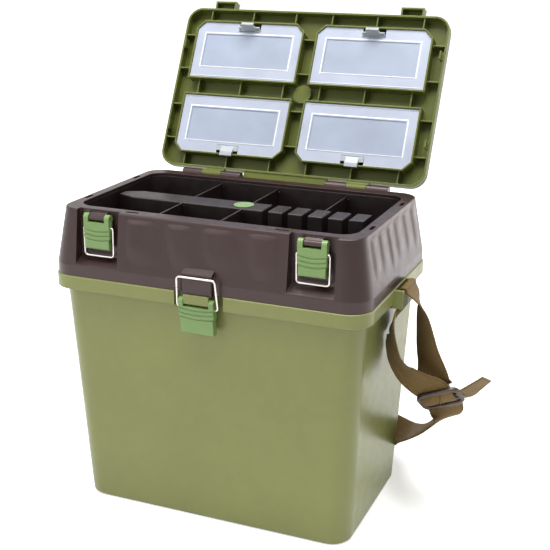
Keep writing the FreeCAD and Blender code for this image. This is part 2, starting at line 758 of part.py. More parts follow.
def make_lid():
    shell = rounded_block(lid_length, lid_width, lid_radius, lid_skirt_z, lid_top_z, lid_centre_y)
    shell = shell.makeFillet(lid_edge_fillet, [e for e in shell.Edges if e.BoundBox.ZMin > lid_top_z - 0.01])
    hollow = rounded_block(lid_length - 2 * lid_wall, lid_width - 2 * lid_wall, lid_radius - lid_wall,
                           lid_skirt_z - past, lid_ceiling_z, lid_centre_y)
    lid = shell.cut(hollow)
    rise = V(0, 0, lid_ceiling_z + past - pocket_top_z)
    walls = [pocket_outline(x, side, 0.0, pocket_top_z).extrude(rise) for x, side in pocket_places()]
    voids = [pocket_outline(x, side, pocket_wall, pocket_top_z - past).extrude(rise)
             for x, side in pocket_places()]
    floors = [pocket_outline(x, side, pocket_wall / 2, lid_ceiling_z).extrude(V(0, 0, lid_top_skin / 2))
              for x, side in pocket_places()]
    boss = Part.makeCylinder(lid_boss_radius, lid_boss_height + past,
                             V(0, lid_centre_y, lid_ceiling_z - lid_boss_height))
    lid = lid.fuse(lid_ribs() + walls + [boss]).cut(voids).fuse(floors)
    for x, side in pocket_places():
        half = pocket_length / 2 + past
        lid = lid.cut(rod_x(x - half, x + half, cover_axis_y(side), pocket_top_z + cover_axis_depth,
                            cover_knob_radius + running_clearance))
    for x_sign in (-1, 1):
        for y_sign in (-1, 1):
            lid = lid.fuse(make_lid_hook(x_sign, y_sign))
        lid = lid.fuse(catch_loop(x_sign * latch_x))
        knuckle = make_lid_knuckle()
        lid = lid.fuse(knuckle if x_sign > 0 else mirrored(knuckle, X_AXIS))
    flange_half = knuckle_inner_x - knuckle_gap
    flange = box(-flange_half, flange_half, lid_rear_y - past, lid_rear_y + hinge_flange_depth,
                 lid_skirt_z + past, lid_skirt_z + past + hinge_flange_height)
    return lid.fuse(flange).removeSplitter()


def lid_ribs():
    bottom = lid_skirt_z + lid_rib_recess
    top = lid_ceiling_z + past
    half_x = lid_length / 2 - lid_wall / 2
    half_y = lid_width / 2 - lid_wall / 2
    ribs = []
    for sign in (-1, 1):
        for value in lid_rib_x:
            x = sign * value
            ribs.append(box(x - lid_rib / 2, x + lid_rib / 2, lid_centre_y - half_y, lid_centre_y + half_y,
                            bottom, top))
        for value in lid_rib_v:
            y = lid_centre_y + sign * value
            ribs.append(box(-half_x, half_x, y - lid_rib / 2, y + lid_rib / 2, bottom, top))
    return ribs


def make_lid_hook(x_sign, y_sign):
    inner = x_sign * (lid_hook_x - lid_hook_thickness / 2)
    outer = x_sign * (lid_hook_x + lid_hook_thickness / 2)
    wall = x_sign * (lid_length / 2 - lid_wall / 2)
    y0 = y_sign * lid_hook_y - lid_hook_length / 2
    y1 = y0 + lid_hook_length
    x0, x1 = sorted((inner, wall))
    foot = box(x0, x1, y0, y1, lid_skirt_z, lid_skirt_z + lid_hook_foot)
    x0, x1 = sorted((inner, outer))
    hook = box(x0, x1, y0, y1, lid_skirt_z - lid_hook_reach, lid_skirt_z + past)
    return [foot, hook]


def make_lid_knuckle():
    x0 = knuckle_mid_x + knuckle_gap / 2
    x1 = knuckle_far_x - knuckle_gap / 2
    root_y = lid_rear_y - lid_wall / 2
    barrel = rod_x(x0, x1, lid_hinge_y, lid_hinge_z, lid_knuckle_radius)
    arm = prism_x([(root_y, lid_skirt_z + past), (lid_hinge_y, lid_hinge_z),
                   (lid_hinge_y, lid_hinge_z + lid_knuckle_radius),
                   (root_y, lid_skirt_z + hinge_arm_drop)], x0, x1)
    bore = rod_x(x0 - past, x1 + past, lid_hinge_y, lid_hinge_z, lid_pin_radius + running_clearance)
    return barrel.fuse(arm).cut(bore)


def catch_loop(centre_x):
    half = catch_loop_width / 2
    front = lid_rear_y - lid_width
    bottom = lid_skirt_z + catch_loop_rise
    body = box(centre_x - half, centre_x + half, front - catch_loop_reach, front + lid_wall / 2,
               bottom, catch_loop_top)
    hole = box(centre_x - half + catch_loop_wall, centre_x + half - catch_loop_wall,
               front - catch_loop_reach + catch_loop_wall, front,
               bottom - past, catch_loop_top - catch_loop_wall)
    return body.cut(hole)


def make_cover(centre_x, side):
    axis_y = cover_axis_y(side)
    axis_z = pocket_top_z + cover_axis_depth
    face_z = axis_z - cover_thickness / 2
    plate = pocket_outline(centre_x, side, pocket_wall + cover_side_clearance, face_z)
    plate = plate.extrude(V(0, 0, cover_thickness))
    half = pocket_length / 2
    y0, y1 = sorted((axis_y + side * cover_edge, axis_y + side * pocket_chamfer))
    plate = plate.cut(box(centre_x - half, centre_x + half, y0, y1, face_z - past, axis_z + cover_thickness))
    plate = plate.fuse(rod_x(centre_x - half, centre_x + half, axis_y, axis_z, cover_knob_radius))
    frame_l = pocket_length / 2 - cover_frame_inset_length
    frame_w = pocket_width / 2 - cover_frame_inset_width
    centre_y = lid_centre_y - side * pocket_centre_v
    frame = box(centre_x - frame_l, centre_x + frame_l, centre_y - frame_w, centre_y + frame_w,
                face_z - cover_frame_height, axis_z)
    frame = frame.cut(box(centre_x - frame_l + cover_frame_width, centre_x + frame_l - cover_frame_width,
                          centre_y - frame_w + cover_frame_width, centre_y + frame_w - cover_frame_width,
                          face_z - cover_frame_height - past, axis_z + past))
    plate = plate.fuse(frame)
    hinge_y = clip_axis_y(side)
    hinge_z = clip_axis_z()
    notch_half = clip_width / 2 + clip_side_clearance
    y0, y1 = sorted((hinge_y + side * (clip_barrel_radius + clip_side_clearance),
                     hinge_y - side * 2 * clip_hinge_inset))
    plate = plate.cut(box(centre_x - notch_half, centre_x + notch_half, y0, y1,
                          face_z - past, axis_z + cover_thickness))
    pin = rod_x(centre_x - notch_half - past, centre_x + notch_half + past, hinge_y, hinge_z, clip_pin_radius)
    return plate.fuse(pin).removeSplitter()


def clip_axis_y(side):
    return lid_centre_y - side * (pocket_centre_v + pocket_width / 2 - pocket_wall - clip_hinge_inset)


def clip_axis_z():
    return pocket_top_z + cover_axis_depth + cover_thickness / 2 - clip_barrel_radius


def make_clip(centre_x, side):
    axis_y = clip_axis_y(side)
    axis_z = clip_axis_z()
    half = clip_width / 2
    half_tab = clip_tab_width / 2
    skin = clip_barrel_radius * math.sqrt(0.8)
    wall_out = clip_hinge_inset + pocket_wall + clip_wall_clearance
    wall_in = clip_hinge_inset - clip_wall_clearance
    top = pocket_top_z - clip_wall_clearance
    barrel = rod_x(centre_x - half, centre_x + half, axis_y, axis_z, clip_barrel_radius)
    y0, y1 = sorted((axis_y, axis_y - side * clip_strip_length))
    strip = box(centre_x - half, centre_x + half, y0, y1, axis_z - skin, axis_z + skin)
    profile = [(0.0, axis_z + skin), (wall_in - clip_thickness, axis_z + skin),
               (wall_in, top), (wall_out, top), (wall_out, top + clip_lip_drop),
               (wall_out + clip_lip, top + clip_lip_drop), (wall_out + clip_lip, top - clip_thickness),
               (wall_in - clip_thickness, top - clip_thickness), (0.0, axis_z - skin)]
    tab = prism_x([(axis_y - side * along, z) for along, z in profile],
                  centre_x - half_tab, centre_x + half_tab)
    bore = rod_x(centre_x - half - past, centre_x + half + past, axis_y, axis_z,
                 clip_pin_radius + running_clearance)
    return barrel.fuse([strip, tab]).cut(bore).removeSplitter()


def opened(shape):
    shape.rotate(V(0, lid_hinge_y, lid_hinge_z), X_AXIS, -lid_open_angle)
    return shape


def by_lug(side, out, y, below):
    return V(side * (lug_out_x + out), y, tub_height - below)


def by_buckle(along, above):
    return buckle_centre + buckle_along * along + buckle_normal * above


def strap_route():
    # Each entry is a point on the strap's middle line and the direction of its width there
    rear_y = tub_top_width / 2
    left_in = V(-lug_in_x, 0, strap_top_z)
    right_in = V(lug_in_x, 0, strap_top_z)
    down = V(0, 0, 1)
    return [
        (by_lug(-1, -1.7, 0, 67.5), V(0, 1, 0)),
        (left_in - down * 48.7, V(0, 1, 0)),
        (left_in, V(0, 1, 0)),
        (V(-lug_out_x, 0, strap_top_z), V(0, 1, 0)),
        (by_lug(-1, 0.7, 0, 41.5), V(0, 1, 0)),
        (by_lug(-1, 28.1, 0, 103.5), V(0, 1, 0)),
        (by_lug(-1, 28.1, 26, 163.5), V(0.25, 0.9, 0.3)),
        (by_lug(-1, 0.1, rear_y - 22.5, 203.5), V(0.1, 0.6, 0.8)),
        (by_lug(-1, -62.9, rear_y + 19.5, 225.5), V(0, 0.4, 0.92)),
        (V(0, rear_y + 27.5, tub_height - 233.5), V(0, 0.3, 0.95)),
        (by_lug(1, -72.9, rear_y + 19.5, 241.5), V(0, 0.2, 0.98)),
        (by_lug(1, -32.4, rear_y + 7.5, 248.5), V(0.35, 0.7, 0.62)),
        (by_lug(1, -10, 63.3, 216.1), V(0.58, 0.7, 0.42)),
        (by_lug(1, 4.8, 45, 202.5), V(0.52, 0.8, 0.32)),
        (by_lug(1, 29.1, 22, 174.5), V(0.32, 0.86, 0.36)),
        (by_lug(1, 49.6, 17, 161.5), V(0.66, 0.74, -0.05)),
        (by_buckle(16, -3.5), buckle_across),
        (by_buckle(0, 2.8), buckle_across),
        (by_buckle(-16, -3.5), buckle_across),
        (by_lug(1, 22.6, -15.3, 113.3), V(0.99, 0, 0.2)),
        (by_lug(1, 6.6, -19.8, 102.7), V(0.98, -0.2, 0)),
        (by_lug(1, -3.4, -20.8, 92), V(0.86, -0.5, 0)),
        (by_lug(1, -8.9, -26.5, 75.3), V(0.67, -0.74, 0)),
        (by_lug(1, -9.9, -31.2, 62), V(0.55, -0.83, 0)),
        (by_lug(1, -12.4, -31, 48), V(0.38, -0.92, 0)),
        (by_lug(1, -14.4, -19, 41), V(0.16, -0.98, 0)),
        (by_lug(1, -14.1, -8, 36.5), V(0.06, -0.99, 0)),
        (by_lug(1, -8.1, 0, 28), V(0, -1, 0)),
        (right_in - down * 20.2, V(0, -1, 0)),
        (right_in, V(0, -1, 0)),
        (V(lug_out_x, 0, strap_top_z), V(0, -1, 0)),
        (by_lug(1, 6.4, 0, 9.6), V(0.12, -0.99, 0)),
        (by_lug(1, 12.2, 0, 20.8), V(0.38, -0.92, 0)),
        (by_lug(1, 15.5, 0, 33.6), V(0.58, -0.81, 0)),
        (by_lug(1, 19.5, 0, 54.8), V(0.7, -0.71, 0)),
        (by_lug(1, 22.9, 0, 74.9), V(0.81, -0.58, 0)),
        (by_lug(1, 29.1, 0, 95), V(0.9, -0.42, 0.1)),
        (by_buckle(-16, -9), buckle_across),
        (by_buckle(2, -8.5), buckle_across),
        (by_lug(1, 58.2, 0, 127.7), V(0.7, 0.65, -0.3)),
        (by_lug(1, 68.2, 5, 124.1), V(0.25, 0.85, -0.45)),
        (by_lug(1, 77.8, 5, 115.7), V(0.2, 0.88, -0.45)),
        (by_lug(1, 91.4, 10, 103.5), V(0.15, 0.93, -0.4)),
    ]


def rounded_route(route):
    stations = [route[0]]
    radii = []
    for index in range(1, len(route) - 1):
        before, here, after = route[index - 1][0], route[index][0], route[index + 1][0]
        back = before - here
        ahead = after - here
        shorter = min(back.Length, ahead.Length)
        back.normalize()
        ahead.normalize()
        turn = math.pi - back.getAngle(ahead)
        trim = strap_trim * shorter
        radius = trim / math.tan(turn / 2)
        radii.append(radius)
        middle = back + ahead
        middle.normalize()
        centre = here + middle * (radius / math.cos(turn / 2))
        start = here + back * trim - centre
        normal = back.cross(ahead)
        normal.normalize()
        count = max(2, int(math.degrees(turn) / strap_step_angle) + 1)
        for step in range(count + 1):
            turned = FreeCAD.Rotation(normal, -math.degrees(turn) * step / count).multVec(start)
            stations.append((centre + turned, route[index][1]))
    stations.append(route[-1])
    return stations, radii


def triangle(a, b, c):
    return Part.Face(Part.makePolygon([a, b, c, a]))


def make_ribbon(route):
    stations, radii = rounded_route(route)
    sections = []
    length = 0.0
    for index, (point, width) in enumerate(stations):
        before = stations[max(index - 1, 0)][0]
        after = stations[min(index + 1, len(stations) - 1)][0]
        length += (point - before).Length
        along = after - before
        along.normalize()
        across = width - along * width.dot(along)
        across.normalize()
        normal = along.cross(across)
        wide = across * (strap_width / 2)
        thick = normal * (strap_thickness / 2)
        sections.append([point - wide - thick, point + wide - thick,
                         point + wide + thick, point - wide + thick])
    faces = []
    for low, high in zip(sections, sections[1:]):
        for side in range(4):
            other = (side + 1) % 4
            faces.append(triangle(low[side], low[other], high[other]))
            faces.append(triangle(low[side], high[other], high[side]))
    for section_corners in (sections[0], sections[-1]):
        faces.append(Part.Face(Part.makePolygon(section_corners + section_corners[:1])))
    solid = Part.Solid(Part.Shell(faces))
    if solid.Volume < 0:
        solid.reverse()
    print("strap length", round(length), "tightest radius", round(min(radii), 1),
          "radii", [round(r, 1) for r in radii])
    return solid


def make_buckle():
    half_l = buckle_length / 2
    half_d = buckle_depth / 2
    half_t = buckle_thickness / 2
    frame = box(-half_d, half_d, -half_l, half_l, -half_t, half_t)
    frame = frame.makeFillet(buckle_fillet, [e for e in frame.Edges if e.BoundBox.ZLength > half_t])
    slot_half = half_l - buckle_bar
    for side in (-1, 1):
        x0, x1 = sorted((side * buckle_bar / 2, side * (half_d - buckle_bar)))
        frame = frame.cut(box(x0, x1, -slot_half, slot_half, -half_t - past, half_t + past))
    frame.Placement = FreeCAD.Placement(buckle_centre, FreeCAD.Rotation(buckle_along, buckle_across,
                                                                        buckle_normal, "XZY"))
    return frame


def main():
    os.makedirs("parts", exist_ok=True)
    save("lower_tub", make_lower_tub())
    half_centre = centre_lever_width / 2
    save("centre_latch_pin", pin_group([(-half_centre, half_centre)],
                                       centre_pivot_y, centre_pivot_z, pin_radius))
    rear_spans = [(sign * rear_hinge_x - rear_hinge_half, sign * rear_hinge_x + rear_hinge_half)
                  for sign in (-1, 1)]
    save("rear_hinge_pins", pin_group(rear_spans, rear_hinge_y, rear_hinge_z, rear_pin_radius))
    save("shoulder_strap", make_ribbon(strap_route()))
    save("strap_buckle", make_buckle())

    save("upper_housing", make_upper_housing())
    save("tray_insert", make_tray_insert())
    for number, x in enumerate(divider_rear_x, 1):
        save("divider_rear_%d" % number, make_divider(x, 1))
    for number, x in enumerate(divider_front_x, 1):
        save("divider_front_%d" % number, make_divider(x, -1))
    save("spine_badge", make_badge())
    half_lid = lid_lever_width / 2
    latch_spans = [(sign * latch_x - half_lid, sign * latch_x + half_lid) for sign in (-1, 1)]
    save("lid_latch_pins", pin_group(latch_spans, lid_pivot_y, lid_pivot_z, pin_radius))
    hinge_spans = [(-knuckle_outer_x, -knuckle_inner_x), (knuckle_inner_x, knuckle_outer_x)]
    save("lid_hinge_pins", pin_group(hinge_spans, lid_hinge_y, lid_hinge_z, lid_pin_radius))

    bail_z = lid_pivot_z - lid_bail_below_pivot
    for name, sign in latch_signs:
        centre = sign * latch_x
        save("lever_" + name, make_lever(centre, lid_pivot_y, lid_pivot_z, **lid_lever_sizes))
        save("bail_" + name, make_bail(centre, lid_lever_width, lid_bail_clearance, 0.0,
                                       lid_pivot_y, bail_z, lid_pivot_y, bail_z - lid_bail_length))
    lever = make_lever(0.0, centre_pivot_y, centre_pivot_z, **centre_lever_sizes)
    lever.rotate(V(0, centre_pivot_y, centre_pivot_z), X_AXIS, centre_lever_lean)
    save("lever_centre", lever)
    lean = math.radians(centre_lever_lean)
    bail_y = centre_pivot_y + centre_bail_below_pivot * math.sin(lean)
    bail_z = centre_pivot_z - centre_bail_below_pivot * math.cos(lean)
    save("bail_centre", make_bail(0.0, centre_lever_width, centre_bail_clearance, centre_bail_taper,
                                  bail_y, bail_z, catch_wire_y, tub_height + centre_wire_above_mouth))

    save("lid_shell", opened(make_lid()))
    for x_name, x_sign in latch_signs:
        for y_name, side in (("front", 1), ("rear", -1)):
            centre = x_sign * pocket_centre_x
            save("cover_%s_%s" % (y_name, x_name), opened(make_cover(centre, side)))
            clip = make_clip(centre, side)
            if side > 0:
                clip.rotate(V(centre, clip_axis_y(side), clip_axis_z()), X_AXIS, clip_raised_angle)
            save("clip_%s_%s" % (y_name, x_name), opened(clip))


main()
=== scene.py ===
import math

import bmesh
import bpy
from mathutils import Matrix, Vector, noise


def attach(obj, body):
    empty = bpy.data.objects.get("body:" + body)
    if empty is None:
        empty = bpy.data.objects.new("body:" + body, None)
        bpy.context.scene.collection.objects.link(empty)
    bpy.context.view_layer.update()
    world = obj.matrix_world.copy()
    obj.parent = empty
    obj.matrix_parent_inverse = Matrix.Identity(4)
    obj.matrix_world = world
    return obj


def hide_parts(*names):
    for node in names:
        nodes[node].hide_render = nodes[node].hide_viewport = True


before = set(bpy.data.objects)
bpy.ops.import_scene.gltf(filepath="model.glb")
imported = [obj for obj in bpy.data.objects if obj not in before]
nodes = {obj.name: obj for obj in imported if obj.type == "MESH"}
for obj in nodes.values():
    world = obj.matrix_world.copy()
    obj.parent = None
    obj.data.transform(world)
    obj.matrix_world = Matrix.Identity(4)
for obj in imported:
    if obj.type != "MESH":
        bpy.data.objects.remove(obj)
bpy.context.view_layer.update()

# The photograph's view of the box: angles in degrees, place in metres, lens in millimetres.
camera_azimuth = 22.41
camera_elevation = 17.89
camera_roll = 0.33
camera_place = Vector((0.50518, -1.12464, 0.67514))
camera_lens = 70.22
camera_sensor = 36.0
camera_shift = -0.00164

# Linear colours of the plastics, the metal and the webbing.
tub_green = (0.164, 0.182, 0.052)
lid_green = (0.086, 0.100, 0.016)
housing_brown = (0.019, 0.0085, 0.008)
tray_black = (0.009, 0.0045, 0.0045)
latch_green = (0.145, 0.245, 0.068)
badge_green = (0.165, 0.250, 0.105)
cover_border = (0.43, 0.47, 0.57)
# cover_window_tint_and_shade is partly the covers' own tint and partly painted shade of the dim pocket seen
# through them.
cover_window_tint_and_shade = (0.34, 0.39, 0.49)
# cover_frame_highlight is a painted highlight on the covers' frame line and rim edges.
cover_frame_highlight = (0.86, 0.88, 0.92)
clip_white = (0.50, 0.54, 0.57)
wire_pale = (0.62, 0.57, 0.54)
pin_grey = (0.45, 0.45, 0.46)
webbing_brown = (0.180, 0.112, 0.038)
buckle_brown = (0.036, 0.019, 0.012)

# Webbing, in metres: width, thickness and the control points of its route, each with the direction of the
# width. It runs from its end at the left lug behind the tub to the buckle, up through the right lug, and
# back down through the buckle to its tail.
strap_width = 0.040
strap_thickness = 0.0018
strap_route = [
    ((-0.2052, 0.0000, 0.2240), (0.00, 1.00, 0.00)),
    ((-0.2006, 0.0000, 0.2440), (0.00, 1.00, 0.00)),
    ((-0.2006, 0.0000, 0.2885), (0.00, 1.00, 0.00)),
    ((-0.2006, 0.0000, 0.2929), (0.00, 1.00, 0.00)),
    ((-0.2037, 0.0000, 0.2929), (0.00, 1.00, 0.00)),
    ((-0.2069, 0.0000, 0.2929), (0.00, 1.00, 0.00)),
    ((-0.2069, 0.0000, 0.2885), (0.00, 1.00, 0.00)),
    ((-0.2076, 0.0000, 0.2500), (0.00, 1.00, 0.00)),
    ((-0.2350, 0.0000, 0.1880), (0.00, 1.00, 0.00)),
    ((-0.2350, 0.0260, 0.1280), (0.18, 0.70, 0.69)),
    ((-0.2070, 0.0920, 0.0880), (0.01, 0.49, 0.87)),
    ((-0.1440, 0.1340, 0.0660), (0.03, 0.41, 0.91)),
    ((0.0000, 0.1420, 0.0580), (0.05, 0.30, 0.95)),
    ((0.1340, 0.1340, 0.0500), (0.11, 0.19, 0.98)),
    ((0.1745, 0.1220, 0.0430), (0.43, 0.62, 0.66)),
    ((0.1969, 0.0633, 0.0754), (0.64, 0.60, 0.49)),
    ((0.2117, 0.0450, 0.0890), (0.51, 0.80, 0.31)),
    ((0.2360, 0.0220, 0.1170), (0.27, 0.91, 0.32)),
    ((0.2565, 0.0170, 0.1300), (0.67, 0.74, -0.04)),
    ((0.2501, 0.0111, 0.1499), (0.93, 0.07, 0.35)),
    ((0.2484, -0.0059, 0.1561), (0.93, 0.05, 0.38)),
    ((0.2419, -0.0098, 0.1727), (0.77, -0.05, 0.64)),
    ((0.2295, -0.0153, 0.1782), (0.55, -0.30, 0.78)),
    ((0.2135, -0.0198, 0.1888), (0.62, -0.45, 0.64)),
    ((0.2035, -0.0208, 0.1995), (0.75, -0.60, 0.28)),
    ((0.1980, -0.0265, 0.2162), (0.70, -0.71, -0.10)),
    ((0.1970, -0.0312, 0.2295), (0.56, -0.83, -0.06)),
    ((0.1945, -0.0310, 0.2435), (0.34, -0.78, 0.53)),
    ((0.1925, -0.0190, 0.2505), (0.23, -0.42, 0.88)),
    ((0.1928, -0.0080, 0.2550), (0.42, -0.60, 0.68)),
    ((0.1988, 0.0000, 0.2635), (0.00, -1.00, 0.00)),
    ((0.2006, 0.0000, 0.2725), (0.00, -1.00, 0.00)),
    ((0.2006, 0.0000, 0.2885), (0.00, -1.00, 0.00)),
    ((0.2006, 0.0000, 0.2929), (0.00, -1.00, 0.00)),
    ((0.2037, 0.0000, 0.2929), (0.00, -1.00, 0.00)),
    ((0.2069, 0.0000, 0.2929), (0.00, -1.00, 0.00)),
    ((0.2069, 0.0000, 0.2885), (0.00, -1.00, 0.00)),
    ((0.2133, 0.0000, 0.2819), (0.08, -1.00, 0.06)),
    ((0.2191, 0.0000, 0.2707), (0.34, -0.93, 0.13)),
    ((0.2224, 0.0000, 0.2579), (0.56, -0.82, 0.12)),
    ((0.2264, 0.0000, 0.2367), (0.69, -0.72, 0.12)),
    ((0.2298, 0.0000, 0.2166), (0.78, -0.59, 0.19)),
    ((0.2360, 0.0000, 0.1965), (0.87, -0.41, 0.26)),
    ((0.2398, -0.0042, 0.1771), (0.97, 0.09, 0.24)),
    ((0.2430, 0.0098, 0.1652), (0.61, -0.19, 0.77)),
    ((0.2575, 0.0090, 0.1665), (0.12, 0.70, -0.70)),
    ((0.2660, 0.0060, 0.1655), (0.21, 0.80, -0.56)),
    ((0.2751, 0.0050, 0.1674), (0.29, 0.85, -0.43)),
    ((0.2847, 0.0050, 0.1758), (0.20, 0.87, -0.44)),
    ((0.2983, 0.0100, 0.1880), (0.08, 0.89, -0.45)),
]

# Slide buckle: its centre, the directions along the strap and across it, and the sizes of its bars.
# turn is its corners' radius, drop and rise move the middle bar and the long sides off its plane.
buckle_centre = Vector((0.2489, -0.0019, 0.1600))
buckle_along = Vector((0.2569, 0.6538, -0.7117)).normalized()
buckle_across = Vector((0.9256, 0.0454, 0.3758)).normalized()
buckle_half_along = 0.0147
buckle_half_across = 0.0235
buckle_turn = 0.0080
buckle_bar_half = 0.0027
buckle_middle_radius = 0.0014
buckle_middle_inset = 0.001
buckle_middle_drop = 0.0008
buckle_long_rise = 0.0005

# Pocket covers: the lid's hinge and how far it stands open, then the covers' centres and frame lines.
lid_hinge = (0.0, 0.1216, 0.367)
lid_open_angle = math.radians(117.14)
cover_middle_y = 0.001
cover_centre_x = 0.0865
cover_centre_y = 0.0514
cover_frame_half_x = 0.06375
cover_frame_half_y = 0.0240

# Housing walls that carry the moulded folds: the foot's height and half sizes, how far the walls draw in
# over the taper's height, then the folds' own heights, half lengths and depths.
housing_foot_z = 0.3045
housing_foot_half_x = 0.19325
housing_foot_half_y = 0.1225
housing_taper_x = 0.01075
housing_taper_y = 0.0090
housing_taper_height = 0.0655
folds_low_z = 0.3055
folds_high_z = 0.3655
front_folds_half = 0.097
side_folds_half = 0.092
front_folds_depth = 0.0011
side_folds_depth = 0.0016

# Ranges that the materials share: a whole mask, and the middle of a noise pattern's values.
full_range = (0.0, 1.0)
noise_middle = (0.3, 0.7)

# Radius of the painted edge highlights on frosted plastic, in metres.
frosted_highlight_radius = 0.0012

# Sockets of a colour Mix node, whose names repeat: its factor, both colours and the result.
mix_factor, mix_first, mix_second = 0, 6, 7
mix_result = 2


def node_tree(name):
    """A new material with its node tree and its shader."""
    material = bpy.data.materials.new(name)
    material.use_nodes = True
    tree = material.node_tree
    return material, tree, tree.nodes["Principled BSDF"]


def connect(tree, value, socket):
    """Links an output to the socket, or sets the socket where the value is a constant."""
    if isinstance(value, bpy.types.NodeSocket):
        tree.links.new(value, socket)
    else:
        socket.default_value = value


def add_node(tree, kind, settings=None, **inputs):
    """A node with its settings, and with values or links for its named inputs."""
    node = tree.nodes.new(kind)
    for key, value in (settings or {}).items():
        setattr(node, key, value)
    for key, value in inputs.items():
        connect(tree, value, node.inputs[key])
    return node


def math_node(tree, operation, first, second=None):
    """The result of a calculation on one or two values."""
    node = add_node(tree, "ShaderNodeMath", {"operation": operation})
    connect(tree, first, node.inputs[0])
    if second is not None:
        connect(tree, second, node.inputs[1])
    return node.outputs[0]


def rgba(colour):
    return (colour[0], colour[1], colour[2], 1.0)


def scaled(colour, factor):
    return tuple(min(1.0, c * factor) for c in colour)


def object_place(tree):
    return tree.nodes.new("ShaderNodeTexCoord").outputs["Object"]


def mixed(tree, factor, low, high):
    """A colour that goes from low to high with the factor."""
    mix = add_node(tree, "ShaderNodeMix", {"data_type": "RGBA"})
    connect(tree, factor, mix.inputs[mix_factor])
    connect(tree, low, mix.inputs[mix_first])
    connect(tree, high, mix.inputs[mix_second])
    return mix.outputs[mix_result]


def ranged(tree, value, source, target):
    """The value carried from the source range to the target range, and held inside it."""
    node = add_node(tree, "ShaderNodeMapRange", Value=value)
    node.inputs["From Min"].default_value, node.inputs["From Max"].default_value = source
    node.inputs["To Min"].default_value, node.inputs["To Max"].default_value = target
    return node.outputs["Result"]


def two_tone(tree, pattern, spread, colour, darker, lighter):
    """The colour times darker to lighter, as the pattern goes through its spread."""
    share = ranged(tree, pattern, spread, full_range)
    return mixed(tree, share, rgba(scaled(colour, darker)), rgba(scaled(colour, lighter)))


def noise_at(tree, vector, scale, detail, roughness=0.55):
    node = add_node(tree, "ShaderNodeTexNoise", Vector=vector, Scale=scale, Detail=detail,
                    Roughness=roughness)
    return node.outputs["Fac"]


def stretched(tree, vector, scale):
    return add_node(tree, "ShaderNodeMapping", Vector=vector, Scale=scale).outputs["Vector"]


def edge_mask(tree, radius):
    """A mask that is 1 on sharp or rounded-over edges and 0 on flat faces, with the softened normal."""
    flat_dot, edge_dot = 0.999, 0.86
    bevel = add_node(tree, "ShaderNodeBevel", {"samples": 4}, Radius=radius)
    geometry = tree.nodes.new("ShaderNodeNewGeometry")
    dot = add_node(tree, "ShaderNodeVectorMath", {"operation": "DOT_PRODUCT"})
    tree.links.new(bevel.outputs["Normal"], dot.inputs[0])
    tree.links.new(geometry.outputs["True Normal"], dot.inputs[1])
    mask = ranged(tree, dot.outputs["Value"], (flat_dot, edge_dot), full_range)
    return mask, bevel.outputs["Normal"]


def add_bump(tree, shader, **inputs):
    bump = add_node(tree, "ShaderNodeBump", **inputs)
    tree.links.new(bump.outputs["Normal"], shader.inputs["Normal"])


def moulded_plastic(name, colour, roughness, wear_and_highlight=1.9, wear_and_highlight_amount=0.55, blotch=0.16, grain=0.25,
                    edge=0.0011, specular=0.5, specular_tint=(1.0, 1.0, 1.0), edge_colour=None):
    """Plastic with broad blotches, fine specks, pale edges, long scratches and a pitted grain.

    The pale edges are partly real rubbing and partly painted highlight. wear is how much paler such an edge
    is, unless edge_colour says its colour, wear_and_highlight_amount how much of the edge is paled, blotch
    the share by which the colour wavers, and edge the pale edge's radius.
    """
    speck_lighter = 1.25
    speck_strength = 0.30
    least_wear_and_highlight = 0.35
    roughness_waver = 0.06
    scratch_roughness = 0.08
    material, tree, shader = node_tree(name)
    place = object_place(tree)
    broad = noise_at(tree, place, scale=9.0, detail=4.0)
    fine = noise_at(tree, place, scale=70.0, detail=6.0, roughness=0.65)
    tone = two_tone(tree, broad, noise_middle, colour, darker=1.0 - blotch, lighter=1.0 + blotch)
    speck_share = ranged(tree, fine, (0.35, 0.75), (0.0, speck_strength))
    specked = mixed(tree, speck_share, tone, rgba(scaled(colour, speck_lighter)))
    # Pale edges: partly real rubbing, partly painted highlight where the edges catch the light.
    mask, soft_normal = edge_mask(tree, edge)
    patchy = ranged(tree, fine, (0.30, 0.62), (least_wear_and_highlight * wear_and_highlight_amount, wear_and_highlight_amount))
    worn_and_highlit_share = math_node(tree, "MULTIPLY", mask, patchy)
    worn_and_highlit = mixed(tree, worn_and_highlit_share, specked, rgba(edge_colour or scaled(colour, wear_and_highlight)))
    tree.links.new(worn_and_highlit, shader.inputs["Base Color"])
    scratch = noise_at(tree, stretched(tree, place, (40.0, 40.0, 900.0)), scale=1.0, detail=3.0)
    wavering = ranged(tree, fine, noise_middle, (roughness - roughness_waver, roughness + roughness_waver))
    scratched = ranged(tree, scratch, (0.6, 0.8), (0.0, scratch_roughness))
    tree.links.new(math_node(tree, "ADD", wavering, scratched), shader.inputs["Roughness"])
    pits = noise_at(tree, place, scale=900.0, detail=3.0)
    add_bump(tree, shader, Strength=grain, Distance=0.0002, Height=pits, Normal=soft_normal)
    shader.inputs["Specular IOR Level"].default_value = specular
    shader.inputs["Specular Tint"].default_value = rgba(specular_tint)
    return material


def frosted_plastic(name, colour, transmission, roughness):
    """Cloudy, partly see-through plastic with a painted highlight on its edges."""
    edge_highlight_colour = (0.92, 0.93, 0.95)
    edge_highlight_strength = 0.8
    material, tree, shader = node_tree(name)
    place = object_place(tree)
    cloud = noise_at(tree, place, scale=24.0, detail=4.0)
    tone = two_tone(tree, cloud, noise_middle, colour, darker=0.93, lighter=1.05)
    # Painted highlight: the edges are paled towards near white.
    mask, soft_normal = edge_mask(tree, frosted_highlight_radius)
    edge_highlight_share = ranged(tree, mask, full_range, (0.0, edge_highlight_strength))
    tree.links.new(mixed(tree, edge_highlight_share, tone, rgba(edge_highlight_colour)), shader.inputs["Base Color"])
    wavering = ranged(tree, cloud, noise_middle, (roughness - 0.05, roughness + 0.07))
    tree.links.new(wavering, shader.inputs["Roughness"])
    grain = noise_at(tree, place, scale=700.0, detail=3.0)
    add_bump(tree, shader, Strength=0.15, Distance=0.0002, Height=grain, Normal=soft_normal)
    shader.inputs["Transmission Weight"].default_value = transmission
    return material


